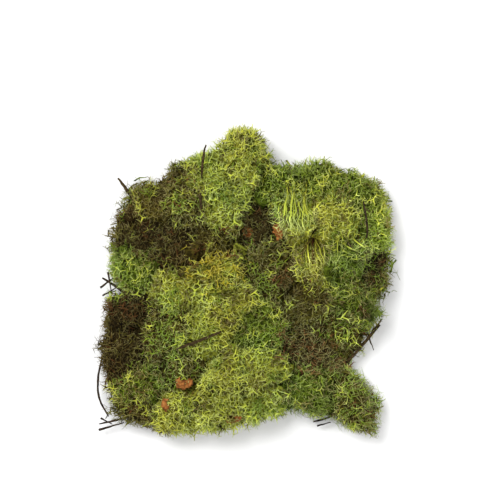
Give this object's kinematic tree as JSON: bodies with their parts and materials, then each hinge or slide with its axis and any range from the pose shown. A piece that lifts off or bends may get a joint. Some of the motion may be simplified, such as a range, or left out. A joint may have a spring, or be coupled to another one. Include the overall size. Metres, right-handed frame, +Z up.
{
  "type": "reindeer moss clump",
  "caption": "Flat clump of dried, dyed reindeer moss: bushy lichen cushions matted side by side, with needles, twigs and bark flakes caught in it, for craft and model scenery.",
  "frame": {"origin": "centre of the clump's box, on the surface that it rests on", "axes": "+Z up out of the clump's show side, +Y towards the clump's narrow crown, along its longest way, +X to the right seen from above"},
  "size_m": [0.152, 0.1608, 0.0296],
  "materials": {
    "lime": "matt, dry, pale yellow-green lichen tips over a darker inside",
    "green": "matt, dry, fresh green lichen",
    "olive": "matt, dry, olive lichen",
    "brown": "matt, dry, brown old lichen and feathery moss",
    "needle": "dark brown dry needle, slight sheen",
    "twig": "matt grey-brown twig and grass stalk",
    "bark": "matt red-brown flake of bark or dead leaf"
  },
  "bodies": {
    "root": {"brown_cushion_13": "brown", "brown_cushion_14": "brown", "brown_cushion_16": "brown", "brown_cushion_22": "brown", "brown_cushion_25": "brown", "brown_cushion_29": "brown", "brown_cushion_37": "brown", "flake_bottom": "bark", "flake_centre_right": "bark", "flake_dark_hollow": "bark", "flake_left": "bark", "flake_lower_left": "bark", "grass_lower_right": "twig", "green_cushion_04": "green", "green_cushion_05": "green", "green_cushion_06": "green", "green_cushion_07": "green", "green_cushion_17": "green", "green_cushion_21": "green", "green_cushion_26": "green", "green_cushion_31": "green", "green_cushion_36": "green", "green_cushion_42": "green", "lime_cushion_01": "lime", "lime_cushion_02": "lime", "lime_cushion_10": "lime", "lime_cushion_11": "lime", "lime_cushion_12": "lime", "lime_cushion_18": "lime", "lime_cushion_20": "lime", "lime_cushion_23": "lime", "lime_cushion_24": "lime", "lime_cushion_30": "lime", "lime_cushion_33": "lime", "lime_cushion_34": "lime", "lime_cushion_39": "lime", "lime_cushion_40": "lime", "lime_cushion_41": "lime", "needle_bottom": "twig", "needle_centre": "twig", "needle_left_edge": "needle", "needle_lower_left": "needle", "needle_lower_right": "needle", "needle_upper_right": "needle", "olive_cushion_03": "olive", "olive_cushion_08": "olive", "olive_cushion_09": "olive", "olive_cushion_15": "olive", "olive_cushion_19": "olive", "olive_cushion_27": "olive", "olive_cushion_28": "olive", "olive_cushion_32": "olive", "olive_cushion_35": "olive", "olive_cushion_38": "olive", "olive_cushion_43": "olive", "twig_crown": "twig", "twig_left": "needle", "twig_top_left": "twig"}
  },
  "joints": []
}
